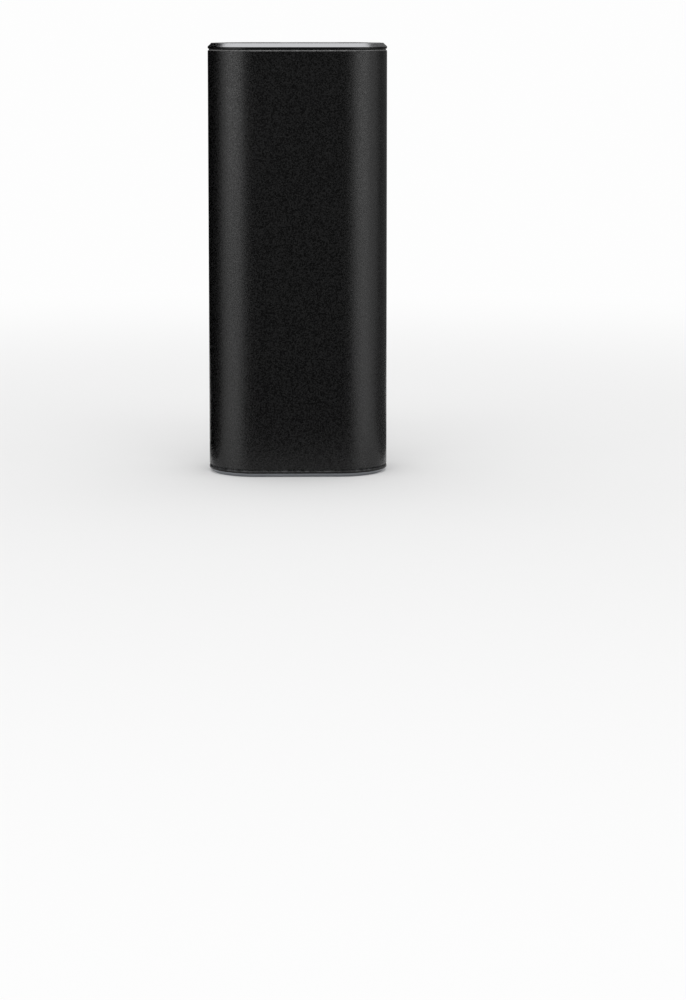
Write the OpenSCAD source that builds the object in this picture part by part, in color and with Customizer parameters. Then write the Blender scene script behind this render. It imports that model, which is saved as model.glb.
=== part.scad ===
// Rechargeable hand warmer: an extruded tube shut by two screwed end caps, with two round cells,
// a control board and two heating films inside. It stands on end, in millimetres:
// Z runs up its length from the lower cover, and -Y is the front face.

/* [Cells] */
// Diameter of one wrapped cell
cell_d = 18.4; // [18.2:0.1:21.4]
// Length of one cell, over its raised positive end
cell_l = 65; // [48:0.5:71]
// Height of the positive end above the shoulder of the cell
cell_tip_h = 0.6; // [0.3:0.1:1.2]
// Clearance between a cell and its cradle
cell_clear = 0.1; // [0.05:0.05:0.3]
// Thickness of the web between the two cells
cell_web = 0.5; // [0.4:0.1:2]
// Thickness of the welded strips that join the cells
strip_t = 0.15; // [0.1:0.05:0.3]
// Thickness of the foam dots at the ends of the cells
pad_t = 0.5; // [0.3:0.1:1.5]

/* [Tube] */
// Wall of the extruded tube
wall_t = 1.2; // [0.9:0.1:2]
// Height of the flat strip down the middle of each rounded side
side_flat = 1; // [0.5:0.5:4]
// Chamfer round each cut end of the tube
tube_chamfer = 0.35; // [0.2:0.05:0.6]

/* [Heating] */
// Thickness of a heating film
film_t = 0.25; // [0.15:0.05:0.5]
// Thickness of the foam that presses a film to the tube
foam_t = 0.5; // [0.3:0.1:1.2]
// Length of a heating film
film_l = 74; // [60:1:78]

/* [Carrier] */
// Thinnest skin of the cell carrier
skin_t = 0.75; // [0.6:0.05:1.5]
// Clearance between the carrier and the sides of the tube
side_gap = 0.2; // [0.1:0.05:0.5]
// Thickness of the carrier floor
carrier_floor_t = 1.2; // [0.8:0.1:2]
// Thickness of the bulkhead between the cells and the board
bulkhead_t = 1.2; // [0.8:0.1:2]
// Wall round the board bay
bay_wall = 1.2; // [1:0.1:1.5]
// Number of windows over each cell
window_count = 3; // [1:1:5]
// Width of a window
window_w = 10; // [4:0.5:12]
// Height of the rib between two windows
window_rib = 4; // [2:0.5:8]

/* [End caps] */
// Height of the cap rim that shows beyond the tube
rim_h = 1.5; // [1.3:0.1:3]
// Chamfer round the outer edge of a cap
rim_chamfer = 0.85; // [0.4:0.05:1.1]
// Chamfer round the edge of a cap that meets the tube
seam_chamfer = 0.3; // [0.1:0.05:0.5]
// Flat land left between the chamfer and the cover plate
rim_land = 0.75; // [0.5:0.05:1.2]
// Depth that a cap plugs into the tube
plug_h = 3.2; // [2.6:0.1:4.5]
// Wall of the plug
plug_wall = 1.2; // [0.9:0.1:1.4]
// Clearance between the plug and the tube
cap_clear = 0.1; // [0.05:0.05:0.2]
// Thickness of the floor of a cap
cap_floor_t = 1.6; // [1.4:0.1:2]
// Thickness of a cover plate
cover_t = 0.6; // [0.4:0.1:0.8]
// Thickness of the tape that holds a cover plate
tape_t = 0.1; // [0.05:0.05:0.2]
// Gap round a cover plate
cover_gap = 0.08; // [0.05:0.01:0.2]
// Chamfer round the edges of a cover plate and its openings
edge_break = 0.15; // [0.1:0.05:0.25]
// Gap between a cap and the carrier
end_gap = 0.2; // [0.1:0.05:0.5]

/* [Screws] */
// Radius of a screw shank
screw_r = 0.95; // [0.7:0.05:1.1]
// Length of a screw under its head
screw_l = 7; // [4.5:0.5:9]
// Radius of a screw head
screw_head_r = 1.75; // [1.5:0.05:1.9]
// Height of a screw head
screw_head_h = 0.7; // [0.5:0.05:0.75]
// Radius of a screw boss
boss_r = 1.8; // [1.6:0.05:1.95]

/* [Output socket] */
// Width of the output socket shell
usb_out_w = 13.2; // [12.8:0.1:13.8]
// Height of the output socket shell, off the board
usb_out_h = 5.7; // [5.5:0.1:6.2]
// Length of the output socket shell
usb_out_l = 14; // [10:0.5:16]
// Thickness of the sheet metal of both socket shells
shell_t = 0.3; // [0.2:0.05:0.35]
// Length of the tongue inside the output socket
tongue_l = 8.9; // [6:0.1:9.5]
// Thickness of the tongue
tongue_t = 1.8; // [1.4:0.1:2.2]

/* [Input socket] */
// Width of the input socket shell
usb_in_w = 8.94; // [8.4:0.02:9.4]
// Height of the input socket shell, off the board
usb_in_h = 3.26; // [3:0.02:3.6]
// Length of the input socket shell
usb_in_l = 7.35; // [6.5:0.05:9]
// Length of the input socket that lies on the board
usb_in_seat = 1.45; // [1:0.05:2]
// Space between neighbours in the row of sockets and button
port_gap = 2; // [1.8:0.1:2.4]

/* [Power button] */
// Radius of the button face
button_r = 3.45; // [3:0.05:3.5]
// Radius of the flange that keeps the button in
flange_r = 4.1; // [3.9:0.05:4.2]
// Thickness of the flange
flange_t = 0.8; // [0.5:0.1:1]
// Running clearance round the button and the switch plunger
slide_clear = 0.1; // [0.05:0.01:0.15]
// Travel of the button
button_travel = 0.4; // [0.2:0.1:0.6]
// Length of the switch plunger above the switch
plunger_l = 1.5; // [1:0.1:1.6]
// Radius of the switch plunger
plunger_r = 1.7; // [1.2:0.1:2]

/* [Board] */
// Thickness of the control board
board_t = 1; // [0.8:0.1:1.2]
// Height of the control board
board_h = 20.8; // [20:0.1:32]
// Depth of the slots that hold the sides of the board
board_slot = 0.4; // [0.3:0.1:0.6]
// Number of charge lights
led_count = 4; // [2:1:4]
// Distance between charge lights
led_pitch = 1.8; // [1.7:0.1:2]
// Radius of a light guide
guide_r = 0.55; // [0.4:0.05:0.65]

/* [Leads] */
// Radius of a battery lead
lead_r = 0.7; // [0.5:0.05:0.75]
// Radius of a heater lead
heater_lead_r = 0.5; // [0.3:0.05:0.6]
// Clearance round a lead in its hole
lead_clear = 0.15; // [0.1:0.05:0.2]
// Thickness of material kept between a lead and a cell
lead_wall = 0.4; // [0.35:0.05:0.5]
// Radius of the bend of a lead, at its middle
lead_bend = 2; // [1.5:0.1:2.5]

/* [Hidden] */
$fn = 64;
tiny = 0.01;
fit = 0.05;

// The section grows outwards from the cells.
cradle_r = cell_d / 2 + cell_clear;
cell_x = cradle_r + cell_web / 2;
carrier_hw = cell_x + cradle_r + skin_t;
carrier_hd = cradle_r + skin_t;
body_w = 2 * (carrier_hw + side_gap + wall_t);
body_d = 2 * (carrier_hd + foam_t + film_t + wall_t);
corner_r = (body_d - side_flat) / 2;
carrier_r = carrier_hd - side_flat / 2;

// The heights grow upwards from the lower cover.
floor_z = cover_t + tape_t + cap_floor_t;
plug_z = rim_h + plug_h;
carrier_z = plug_z + end_gap;
bay_floor_z = carrier_z + carrier_floor_t;
cell_z = bay_floor_z + pad_t + strip_t;
cell_top_z = cell_z + cell_l;
bulkhead_z = cell_top_z + strip_t + pad_t;
bay_z = bulkhead_z + bulkhead_t;
board_top_z = bay_z + board_h;
mouth_z = board_top_z + usb_in_l - usb_in_seat;
body_h = mouth_z + tape_t + cover_t;
carrier_top_z = body_h - plug_z - end_gap;
roof_z = body_h - floor_z;

// Insets from the outline of the body.
plug_in = wall_t + cap_clear;
hollow_in = plug_in + plug_wall;
cover_in = rim_chamfer + rim_land;

// Screws stand front and back of the middle, inside the plug.
boss_gap = 0.4;
screw_y = body_d / 2 - hollow_in - boss_gap - boss_r;
screw_hole_r = screw_r + fit;
head_depth = screw_head_h + fit;
head_gap = 0.15;
slot_w = 0.45;
slot_l = 2.2;
slot_depth = 0.35;

// The board stands so that the output socket is centred in the body's depth.
board_face = -usb_out_h / 2;
board_back = board_face - board_t;
bay_hw = carrier_hw - bay_wall;
bay_hd = carrier_hd - bay_wall;
bay_r = carrier_r - bay_wall;
board_hw = half_width_at(bay_hw, bay_hd, bay_r, -board_back) + board_slot;

// The sockets and the button share one row, centred on the end of the body.
row_w = usb_out_w + usb_in_w + 2 * flange_r + 2 * port_gap;
usb_out_x = (usb_out_w - row_w) / 2;
usb_in_x = usb_out_x + usb_out_w / 2 + port_gap + usb_in_w / 2;
usb_in_y = board_face + usb_in_h / 2;
usb_out_r = 0.5;
usb_in_r = usb_in_h / 2 - fit;
button_x = row_w / 2 - flange_r;
button_hole_r = button_r + slide_clear;
button_dip = 0.1;
collar_clear = 0.15;
collar_t = 0.75;
collar_h = 1.6;
key_w = 1.2;
key_out = 0.5;

// The switch sits at the top edge of the board, its plunger under the button.
switch_w = 6;
switch_h = 3.7;
switch_top_z = board_top_z;
plunger_z = switch_top_z + plunger_l;
plunger_in = 0.8;

// Charge lights and their guides stand on the front face of the board.
led_w = 1.4;
led_d = 1.1;
led_h = 1.4;
led_y = board_back - led_d / 2;
led_top_z = board_top_z - 0.1;
light_xs = [for (i = [0 : led_count - 1]) usb_in_x + (i - (led_count - 1) / 2) * led_pitch];
guide_bar_h = 1;
guide_gap = 0.1;

// Leads
lead_hole_r = lead_r + lead_clear;
heater_hole_r = heater_lead_r + lead_clear;
lead_y = sqrt(pow(cradle_r + lead_hole_r + lead_wall, 2) - pow(cell_x, 2));
strip_lead_gap = 0.6;
strip_hw = lead_y - lead_r - strip_lead_gap;
lead_space = 1.3;
lead_margin = 0.2;
plus_x = -2 * lead_hole_r - lead_space;
plus_y = strip_hw - lead_r - lead_margin;
pad_z = bay_z + 0.26 * board_h;

// Heating films lie on the flat of the tube, centred on its length.
film_margin = 0.2;
film_w = body_w - 2 * corner_r - 2 * film_margin;
film_z = (body_h - film_l) / 2;
film_y = body_d / 2 - wall_t - film_t;
foam_y = film_y - foam_t;

// Their leads and the thermistor leave the stretch of film that stands beside the board.
film_end = film_z + film_l - bay_z;
front_lead_xs = [-0.43 * film_w, -0.32 * film_w];
rear_lead_xs = [0.32 * film_w, 0.43 * film_w];
front_lead_z = bay_z + 0.46 * film_end;
rear_lead_z = bay_z + 0.18 * film_end;
bead_r = 0.85;
bead_x = 0.24 * film_w;
bead_z = bay_z + 0.25 * film_end;
bead_y = fit - film_y + bead_r;
bead_hole_r = 1.5 * bead_r;

// Welded strips
strip_reach = cell_x + 3.5;
tab_w = 3;

// Cell ends
ring_t = 0.2;
tip_r = 4.2;

// Inside the output socket: the tongue and its tip
tongue_w = 11.1;
tongue_y = usb_out_h / 2 - shell_t - 0.7 - tongue_t;
tongue_tip_z = mouth_z - 1;

// Inside the input socket: the blade and its tip
blade_w = 6.7;
blade_t = 0.7;
blade_l = 4.5;
blade_tip_z = mouth_z - 0.9;
insert_fit = 0.02;

// Parts on the board: across, up from the bay floor, width, height, thickness
chip_w = 3;
chip_t = 0.9;
driver_w = 4.9;
driver_h = 3.9;
driver_t = 1.5;
rear_chips = [
    [0.25 * board_hw, 0.41 * board_h, driver_w, driver_h, driver_t],
    [0.72 * board_hw, 0.46 * board_h, chip_w, chip_w, chip_t]
];
front_chips = [
    [0.44 * board_hw, 0.58 * board_h, 4 / 3 * chip_w, 4 / 3 * chip_w, chip_t],
    [-0.61 * board_hw, 0.67 * board_h, chip_w, chip_w, chip_t]
];

// Small parts on the board: their size, and the clear space between two of them
part_l = 1.6;
part_w = 0.8;
part_gap = 0.6;

// Half the width of a rounded rectangle at a distance y from its middle
function half_width_at(hw, hd, r, y) =
    y <= hd - r ? hw : hw - r + sqrt(r * r - pow(y - (hd - r), 2));

// A rectangle with round corners, centred
module rounded(w, d, r) {
    square([w, d - 2 * r], center = true);
    square([w - 2 * r, d], center = true);
    for (sx = [-1, 1], sy = [-1, 1])
        translate([sx * (w / 2 - r), sy * (d / 2 - r)])
            circle(r);
}

// The outline of the body, moved inwards
module body_outline(inset = 0) {
    rounded(body_w - 2 * inset, body_d - 2 * inset, corner_r - inset);
}

// The outline of the carrier, moved inwards
module carrier_outline(inset = 0) {
    rounded(2 * (carrier_hw - inset), 2 * (carrier_hd - inset), carrier_r - inset);
}

// Carries a flat profile round a rounded rectangle: x is outwards from its outline
module sweep_round(w, d, r) {
    run_x = w - 2 * r;
    run_y = d - 2 * r;
    for (k = [0 : 3])
        translate([(k == 0 || k == 3 ? 1 : -1) * run_x / 2, (k < 2 ? 1 : -1) * run_y / 2, 0])
            rotate([0, 0, 90 * k])
                rotate_extrude(angle = 90)
                    translate([r, 0])
                        children();
    for (s = [0, 1])
        rotate([0, 0, 180 * s]) {
            translate([w / 2, run_y / 2, 0])
                rotate([90, 0, 0])
                    linear_extrude(run_y)
                        children();
            translate([-run_x / 2, d / 2, 0])
                rotate([90, 0, 90])
                    linear_extrude(run_x)
                        children();
        }
}

// Cuts a chamfer round the body's outline, moved inwards, with the material above z = 0
module edge_chamfer(c, inset = 0) {
    sweep_round(body_w - 2 * inset, body_d - 2 * inset, corner_r - inset)
        polygon([[-c - tiny, -tiny], [tiny, -tiny], [tiny, c + tiny]]);
}

// Widens the mouth of a rounded hole whose face is at z, with the material below it
module hole_chamfer(x, y, z, w, d, r, c) {
    translate([x, y, z])
        sweep_round(w, d, r)
            polygon([[-tiny, tiny], [c + tiny, tiny], [-tiny, -c - tiny]]);
}

// Widens the mouth of a round hole whose face is at z, with the material below it
module round_chamfer(x, y, z, r, c) {
    translate([x, y, z - c])
        cylinder(r1 = r, r2 = r + c + tiny, h = c + tiny);
}

// Puts its children at the front and the back screw, as seen from the nearer end
module at_screws() {
    for (s = [-1, 1])
        translate([0, s * screw_y, 0])
            children();
}

// Turns what was drawn at the lower end over to the upper end
module upper_end() {
    translate([0, 0, body_h])
        mirror([0, 0, 1])
            children();
}

module body_tube() {
    color("#17171a")
        difference() {
            translate([0, 0, rim_h])
                linear_extrude(body_h - 2 * rim_h)
                    body_outline();
            linear_extrude(body_h)
                body_outline(wall_t);
            translate([0, 0, rim_h])
                edge_chamfer(tube_chamfer);
            translate([0, 0, body_h - rim_h])
                mirror([0, 0, 1])
                    edge_chamfer(tube_chamfer);
        }
}

// A cap as it lies at the lower end, before any socket or button opening
module cap_blank() {
    difference() {
        union() {
            linear_extrude(rim_h)
                body_outline();
            linear_extrude(plug_z)
                body_outline(plug_in);
        }
        edge_chamfer(rim_chamfer);
        translate([0, 0, rim_h])
            mirror([0, 0, 1])
                edge_chamfer(seam_chamfer);
        translate([0, 0, -tiny])
            linear_extrude(cover_t + tape_t + tiny)
                body_outline(cover_in);
        translate([0, 0, floor_z])
            linear_extrude(plug_z)
                body_outline(hollow_in);
        at_screws() {
            cylinder(r = screw_hole_r, h = floor_z + 1);
            cylinder(r = screw_head_r + head_gap, h = cover_t + tape_t + head_depth);
        }
    }
}

// A cover plate as it lies at the lower end
module cover_blank() {
    difference() {
        linear_extrude(cover_t)
            body_outline(cover_in + cover_gap);
        edge_chamfer(edge_break, cover_in + cover_gap);
    }
}

// The tape under a cover plate
module tape_blank() {
    translate([0, 0, cover_t])
        linear_extrude(tape_t)
            body_outline(cover_in + 4 * cover_gap);
}

// A rounded hole on a socket, with its mouth broken by a chamfer of c
module socket_hole(x, y, w, h, r, grow, c) {
    translate([x, y, roof_z - tiny])
        linear_extrude(floor_z + 1)
            rounded(w + 2 * grow, h + 2 * grow, r + grow);
    if (c > 0)
        hole_chamfer(x, y, body_h, w + 2 * grow, h + 2 * grow, r + grow, c);
}

// A round hole, with its mouth broken by a chamfer of c
module round_hole(x, y, r, c) {
    translate([x, y, roof_z - tiny])
        cylinder(r = r, h = floor_z + 1);
    if (c > 0)
        round_chamfer(x, y, body_h, r, c);
}

// All the openings that the sockets, the button and the lights need through the upper end
module end_openings(shell_grow, button_grow, light_grow, c = 0) {
    socket_hole(usb_out_x, 0, usb_out_w, usb_out_h, usb_out_r, shell_grow, c);
    socket_hole(usb_in_x, usb_in_y, usb_in_w, usb_in_h, usb_in_r, shell_grow, c);
    round_hole(button_x, 0, button_hole_r + button_grow, c);
    for (x = light_xs)
        round_hole(x, led_y, guide_r + light_grow, 0);
}

// Puts its children over each charge light
module at_lights() {
    for (x = light_xs)
        translate([x, led_y, 0])
            children();
}

module bottom_cap() {
    color("#131315")
        cap_blank();
}

module bottom_cover() {
    color("#1b1b1e")
        cover_blank();
}

module bottom_cover_tape() {
    color("#d8d4c8")
        tape_blank();
}

module top_cap() {
    color("#131315")
        difference() {
            union() {
                upper_end()
                    cap_blank();
                button_collar();
            }
            end_openings(0.15, 0, fit);
        }
}

// The short wall under the roof that guides the flange of the button
module button_collar() {
    inner_r = flange_r + collar_clear;
    translate([button_x, 0, roof_z - collar_h])
        difference() {
            cylinder(r = inner_r + collar_t, h = collar_h + tiny);
            translate([0, 0, -tiny])
                cylinder(r = inner_r, h = collar_h + 3 * tiny);
            translate([-key_w / 2 - collar_clear, -inner_r - collar_t - 1, -tiny])
                cube([key_w + 2 * collar_clear, collar_t + 2, collar_h]);
        }
}

module top_fascia() {
    color("#1b1b1e")
        difference() {
            upper_end()
                cover_blank();
            end_openings(-shell_t + fit, fit, fit, edge_break);
        }
}

module top_fascia_tape() {
    color("#d8d4c8")
        difference() {
            upper_end()
                tape_blank();
            end_openings(0.3, 0.4, 0.3);
        }
}

// Two cross-head screws as they lie at the lower end
module screws_blank() {
    head_z = cover_t + tape_t + fit;
    at_screws()
        difference() {
            translate([0, 0, head_z]) {
                cylinder(r = screw_head_r, h = screw_head_h);
                cylinder(r = screw_r, h = screw_head_h + screw_l - 1);
                translate([0, 0, screw_head_h + screw_l - 1])
                    cylinder(r1 = screw_r, r2 = screw_r / 3, h = 1);
            }
            for (a = [0, 90])
                rotate([0, 0, a])
                    translate([-slot_l / 2, -slot_w / 2, head_z - tiny])
                        cube([slot_l, slot_w, slot_depth]);
        }
}

module bottom_cap_screws() {
    color("#b9bcc0")
        screws_blank();
}

module top_cap_screws() {
    color("#b9bcc0")
        upper_end()
            screws_blank();
}

// The button: a dished face, a flange with a key, and a stem that rests on the switch plunger
module power_button() {
    face_z = body_h - button_dip;
    flange_z = roof_z - slide_clear - flange_t;
    edge = 0.25;
    dish_r = 24;
    dish_depth = 0.2;
    color("#222226")
        difference() {
            translate([button_x, 0, 0]) {
                translate([0, 0, flange_z]) {
                    cylinder(r = button_r, h = face_z - flange_z - edge);
                    cylinder(r = flange_r, h = flange_t);
                    translate([-key_w / 2, -flange_r - key_out, 0])
                        cube([key_w, flange_r, flange_t]);
                }
                translate([0, 0, face_z - edge])
                    cylinder(r1 = button_r, r2 = button_r - edge, h = edge);
                translate([0, 0, plunger_z])
                    cylinder(r = 1.5, h = flange_z - plunger_z + tiny);
            }
            translate([button_x, 0, face_z - dish_depth + dish_r])
                sphere(dish_r);
        }
}

// Four clear pins on one bar, glued under the roof of the top cap
module light_guide() {
    bar_w = (led_count - 1) * led_pitch + 2 * guide_r + 0.6;
    foot_z = led_top_z + guide_gap;
    color("#dfe8ee", 0.8) {
        translate([usb_in_x - bar_w / 2, led_y - guide_r, roof_z - guide_bar_h])
            cube([bar_w, 2 * guide_r, guide_bar_h]);
        at_lights()
            translate([0, 0, foot_z])
                cylinder(r = guide_r, h = body_h - foot_z);
    }
}

// One half of the carrier: side is -1 for the front half and 1 for the rear half
module carrier_half(side) {
    difference() {
        union() {
            carrier_shell(side);
            carrier_bosses(side);
        }
        for (sx = [-1, 1])
            translate([sx * cell_x, 0, bay_floor_z])
                cylinder(r = cradle_r, h = bulkhead_z - bay_floor_z);
        strip_passage();
        windows(side);
        screw_pilots(side);
    }
}

// The outside of one carrier half, with the board bay hollowed out
module carrier_shell(side) {
    reach = body_w;
    difference() {
        translate([0, 0, carrier_z])
            linear_extrude(carrier_top_z - carrier_z)
                intersection() {
                    carrier_outline();
                    translate([-reach / 2, side > 0 ? 0 : -reach])
                        square([reach, reach]);
                }
        translate([0, 0, bay_z])
            linear_extrude(body_h)
                carrier_outline(bay_wall);
    }
}

// The screw post of one carrier half, from end to end of the space between the caps
module carrier_bosses(side) {
    translate([0, side * screw_y, floor_z])
        cylinder(r = boss_r, h = carrier_z - floor_z + tiny);
    translate([0, side * screw_y, bay_z - tiny])
        cylinder(r = boss_r, h = roof_z - bay_z + tiny);
}

// Lets the welded strips cross from one cell to the other
module strip_passage() {
    end_h = pad_t + strip_t + 0.3;
    span_y = lead_y + lead_hole_r + 0.4;
    low_y = -strip_hw - 0.3;
    for (z = [bay_floor_z, bulkhead_z - end_h])
        translate([-tab_w / 2 - 0.3, low_y, z])
            cube([tab_w + 0.6, span_y - low_y, end_h]);
}

// Windows through the skin over each cell
module windows(side) {
    end_band = 6;
    first_z = bay_floor_z + end_band;
    pitch = (bulkhead_z - end_band - first_z + window_rib) / window_count;
    for (sx = [-1, 1], i = [0 : window_count - 1])
        translate([sx * cell_x, side * carrier_hd, first_z + i * pitch + (pitch - window_rib) / 2])
            rotate([90, 0, 0])
                translate([0, 0, -3])
                    linear_extrude(6)
                        rounded(window_w, pitch - window_rib, 1.5);
}

// The blind holes that the cap screws bite into
module screw_pilots(side) {
    depth = screw_l + 1;
    translate([0, side * screw_y, floor_z - tiny])
        cylinder(r = screw_hole_r, h = depth);
    translate([0, side * screw_y, roof_z - depth + tiny])
        cylinder(r = screw_hole_r, h = depth);
}

module front_carrier() {
    slot_gap = 0.05;
    color("#2a2c30")
        difference() {
            carrier_half(-1);
            translate([-board_hw - slot_gap, board_back - slot_gap, bay_z])
                cube([2 * (board_hw + slot_gap), board_t + 2 * slot_gap, body_h]);
            across_front(front_lead_xs, front_lead_z, heater_hole_r);
            across_front([bead_x], bead_z, bead_hole_r);
        }
}

module rear_carrier() {
    color("#2a2c30")
        difference() {
            carrier_half(1);
            translate([0, lead_y, bay_floor_z])
                cylinder(r = lead_hole_r, h = bay_z - bay_floor_z + tiny);
            translate([plus_x, plus_y, bulkhead_z - tiny])
                cylinder(r = lead_hole_r, h = bulkhead_t + 2 * tiny);
            across_rear(rear_lead_xs, rear_lead_z, heater_hole_r);
        }
}

// Round holes or leads from the front film to the board, at each x
module across_front(xs, z, r, from_y = 0, to_y = 0) {
    near = from_y == 0 ? -body_d / 2 : from_y;
    far = to_y == 0 ? board_back : to_y;
    for (x = xs)
        translate([x, near, z])
            rotate([-90, 0, 0])
                cylinder(r = r, h = far - near);
}

// Round holes or leads from the rear film to the board, at each x
module across_rear(xs, z, r, from_y = 0) {
    near = from_y == 0 ? body_d / 2 : from_y;
    for (x = xs)
        translate([x, board_face, z])
            rotate([-90, 0, 0])
                cylinder(r = r, h = near - board_face);
}

// One cell with its rolled bead, rounded foot and shoulder
module cell(x) {
    r = cell_d / 2;
    h = cell_l - cell_tip_h;
    round_r = 0.7;
    bead_h = h - 3.4;
    bead_w = 0.9;
    bead_in = 0.45;
    color("#2f6f8f")
        translate([x, 0, cell_z])
            rotate_extrude()
                polygon([
                    [0, 0], [r - round_r, 0], [r - round_r * 0.3, round_r * 0.3], [r, round_r],
                    [r, bead_h - bead_w], [r - bead_in, bead_h], [r, bead_h + bead_w],
                    [r, h - round_r], [r - round_r * 0.3, h - round_r * 0.3], [r - round_r, h],
                    [0, h]
                ]);
}

module left_cell() {
    cell(-cell_x);
}

module right_cell() {
    cell(cell_x);
}

// Puts its children on the axis of each cell
module at_cells() {
    for (sx = [-1, 1])
        translate([sx * cell_x, 0, 0])
            children();
}

module cell_positive_ends() {
    color("#c9c8c2")
        at_cells()
            translate([0, 0, cell_top_z - cell_tip_h])
                cylinder(r = tip_r, h = cell_tip_h);
}

module cell_insulator_rings() {
    color("#e9e6dc")
        at_cells()
            translate([0, 0, cell_top_z - cell_tip_h])
                difference() {
                    cylinder(r = cell_d / 2 - 0.8, h = ring_t);
                    translate([0, 0, -tiny])
                        cylinder(r = tip_r + 0.3, h = ring_t + 2 * tiny);
                }
}

module cell_foam_dots() {
    dot_r = 5.5;
    color("#3c3c40")
        at_cells() {
            translate([0, 0, bay_floor_z])
                cylinder(r = dot_r, h = pad_t);
            translate([0, 0, bulkhead_z - pad_t])
                cylinder(r = dot_r, h = pad_t);
        }
}

// A welded strip over both cells, with the weld slot at each end
module strip(z, tab_to_y) {
    weld_l = 4;
    weld_w = 0.8;
    color("#c5c7c9")
        translate([0, 0, z])
            linear_extrude(strip_t)
                difference() {
                    union() {
                        rounded(2 * strip_reach, 2 * strip_hw, 1.5);
                        translate([-tab_w / 2, 0])
                            square([tab_w, tab_to_y]);
                    }
                    for (sx = [-1, 1])
                        translate([sx * cell_x, 0])
                            square([weld_l, weld_w], center = true);
                }
}

module negative_strip() {
    strip(cell_z - strip_t, lead_y + lead_r + lead_margin);
}

module positive_strip() {
    strip(cell_top_z, strip_hw);
}

// A lead that rises from z0, bends forwards and ends on the board
module rising_lead(x, y, z0) {
    rise = pad_z - lead_bend - z0;
    run = y - lead_bend - board_face;
    translate([x, y - lead_bend, pad_z - lead_bend]) {
        translate([0, lead_bend, -rise])
            cylinder(r = lead_r, h = rise);
        rotate([90, 0, 90])
            rotate_extrude(angle = 90)
                translate([lead_bend, 0])
                    circle(lead_r);
        translate([0, -run, lead_bend])
            rotate([-90, 0, 0])
                cylinder(r = lead_r, h = run);
    }
}

module negative_lead() {
    color("#101010")
        rising_lead(0, lead_y, cell_z);
}

module positive_lead() {
    color("#b3201f")
        rising_lead(plus_x, plus_y, cell_top_z + strip_t);
}

// A heating film on the inside of the tube: side is -1 for the front and 1 for the rear
module heating_film(side) {
    color("#c8832f")
        translate([-film_w / 2, side > 0 ? film_y : -film_y - film_t, film_z])
            cube([film_w, film_t, film_l]);
}

module front_heating_film() {
    heating_film(-1);
}

module rear_heating_film() {
    heating_film(1);
}

// The foam behind a heating film
module pressure_foam(side) {
    margin = 0.4;
    color("#55565a")
        translate([margin - film_w / 2, side > 0 ? foam_y : -foam_y - foam_t, film_z + margin])
            cube([film_w - 2 * margin, foam_t, film_l - 2 * margin]);
}

module front_pressure_foam() {
    difference() {
        pressure_foam(-1);
        across_front(front_lead_xs, front_lead_z, heater_hole_r);
        across_front([bead_x], bead_z, bead_hole_r);
    }
}

module rear_pressure_foam() {
    difference() {
        pressure_foam(1);
        across_rear(rear_lead_xs, rear_lead_z, heater_hole_r);
    }
}

module front_heater_leads() {
    color("#e8e4da")
        across_front(front_lead_xs, front_lead_z, heater_lead_r, -film_y);
}

module rear_heater_leads() {
    color("#e8e4da")
        across_rear(rear_lead_xs, rear_lead_z, heater_lead_r, film_y);
}

module thermistor_bead() {
    color("#2c1d16")
        translate([bead_x, bead_y, bead_z])
            sphere(bead_r);
}

module thermistor_legs() {
    leg_r = 0.15;
    leg_x = 0.4;
    color("#c9c8c2")
        across_front(
            [bead_x - leg_x, bead_x + leg_x], bead_z, leg_r,
            bead_y + sqrt(pow(bead_r, 2) - pow(leg_x - leg_r, 2)) + tiny
        );
}

module control_board() {
    notch = 1.2;
    color("#14512f")
        difference() {
            translate([-board_hw, board_back, bay_z])
                cube([2 * board_hw, board_t, board_h]);
            for (sx = [-1, 1])
                translate([sx * board_hw, board_back - tiny, board_top_z])
                    rotate([-90, 0, 0])
                        cylinder(r = notch, h = board_t + 2 * tiny);
        }
}

// A block on the rear face of the board: p is across, up, width, height, thickness
module on_rear(p) {
    translate([p[0] - p[2] / 2, board_face, bay_z + p[1] - p[3] / 2])
        cube([p[2], p[4], p[3]]);
}

// A block on the front face of the board, given in the same way
module on_front(p) {
    translate([p[0] - p[2] / 2, board_back - p[4], bay_z + p[1] - p[3] / 2])
        cube([p[2], p[4], p[3]]);
}

module board_chips() {
    color("#1a1a1c") {
        for (p = rear_chips)
            on_rear(p);
        for (p = front_chips)
            on_front(p);
    }
}

// Rows of small resistors and capacitors
module board_small_parts() {
    color("#a98f63") {
        for (i = [0 : 3])
            on_rear([0.61 * board_hw + i * 2 * part_w, 0.24 * board_h, part_w, part_l, part_w]);
        for (i = [0 : 4])
            on_front([i * (part_l + part_gap) - 0.78 * board_hw, board_h / 2, part_l, part_w, part_w]);
        for (i = [0 : 2])
            on_front([0.69 * board_hw, 0.29 * board_h + i * 2.5 * part_w, part_l, part_w, part_w]);
    }
}

module power_choke() {
    size = 6.2;
    d = 3.6;
    color("#3a3a3d")
        translate([-0.66 * board_hw, board_face, bay_z + 0.73 * size])
            rotate([-90, 0, 0])
                linear_extrude(d)
                    rounded(size, size, 0.9);
}

module output_capacitor() {
    r = 2.5;
    h = 5.4;
    base_h = 0.8;
    color("#b9bcc0")
        translate([0.19 * board_hw, board_face, bay_z + 0.66 * board_h])
            rotate([-90, 0, 0]) {
                linear_extrude(base_h)
                    square(2 * r, center = true);
                cylinder(r = r, h = h);
            }
}

module charge_lights() {
    color("#f3efd8")
        at_lights()
            translate([-led_w / 2, -led_d / 2, led_top_z - led_h])
                cube([led_w, led_d, led_h]);
}

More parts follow.
